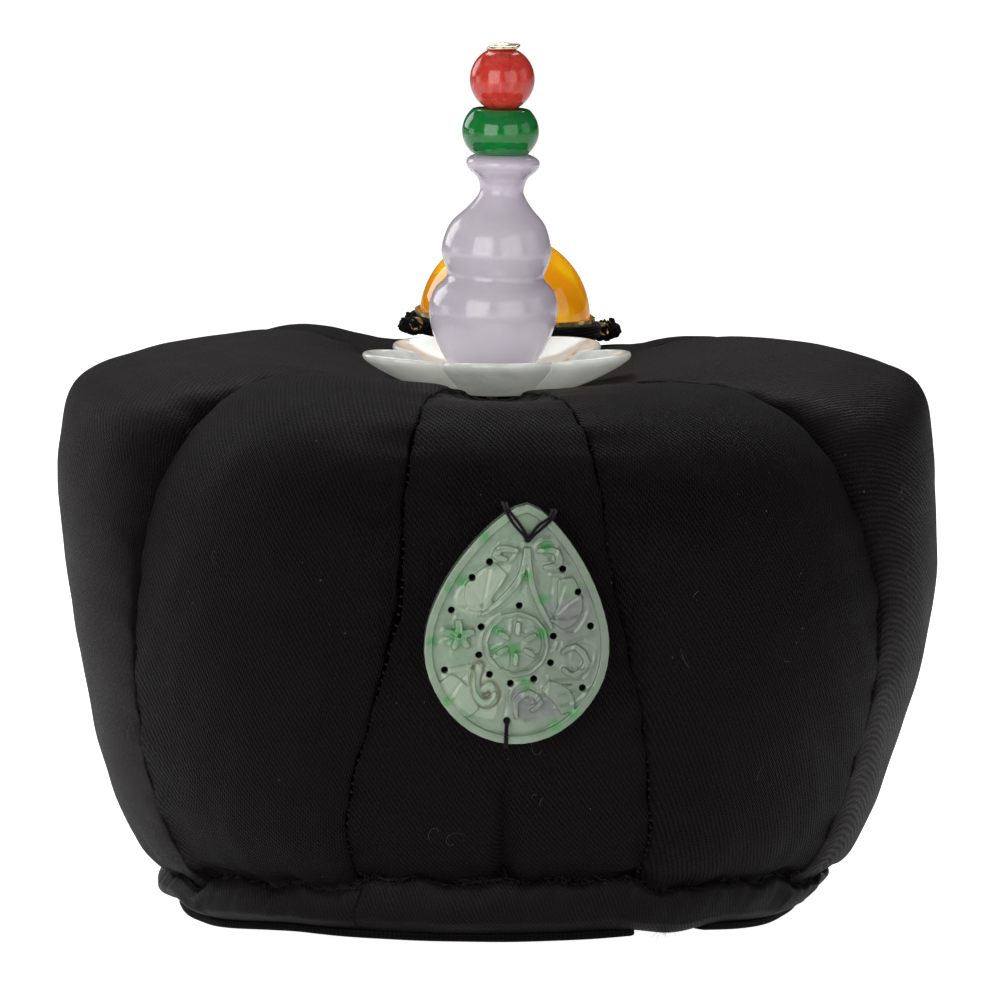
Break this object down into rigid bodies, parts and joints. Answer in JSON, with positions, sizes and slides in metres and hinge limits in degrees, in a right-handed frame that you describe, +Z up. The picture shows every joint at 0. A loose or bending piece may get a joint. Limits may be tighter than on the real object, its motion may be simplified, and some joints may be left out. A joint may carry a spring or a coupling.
{
  "type": "bridal coronet",
  "caption": "Padded black silk bridal coronet with a jade gourd finial, an amber cabochon and a pierced jade plaque on the front.",
  "frame": {"origin": "under the middle of the whole, on the surface that the coronet stands on", "axes": "+Z up, the front with the plaque towards -Y, the wearer's right towards -X"},
  "size_m": [0.1358, 0.133, 0.1348],
  "materials": {
    "crown_silk": "black twilled silk, fine diagonal ribs, soft sheen",
    "band_silk": "black silk band, gathered",
    "tape_silk": "black silk edging tape",
    "pale_jade": "polished pale green white jade",
    "lavender_jade": "polished translucent lavender jade",
    "green_stone": "polished translucent green stone",
    "red_stone": "polished streaky red stone",
    "cap_metal": "thin worn metal disc",
    "pin_metal": "plain pin",
    "amber": "clear orange yellow amber, polished",
    "gilt": "worn gilt brass",
    "black_thread": "wound black thread",
    "plaque_jade": "carved grey green jade with green patches"
  },
  "bodies": {
    "root": {"gore_front": "crown_silk", "gore_front_left": "crown_silk", "gore_side_left": "crown_silk", "gore_back_left": "crown_silk", "gore_back": "crown_silk", "gore_back_right": "crown_silk", "gore_side_right": "crown_silk", "gore_front_right": "crown_silk", "base_band": "band_silk", "base_tape": "tape_silk", "lotus_dish": "pale_jade", "gourd_bead": "lavender_jade", "green_bead": "green_stone", "red_bead": "red_stone", "top_cap": "cap_metal", "finial_pin": "pin_metal", "amber_dome": "amber", "amber_mount": "gilt", "mount_lashing": "black_thread", "jade_plaque": "plaque_jade"}
  },
  "joints": []
}
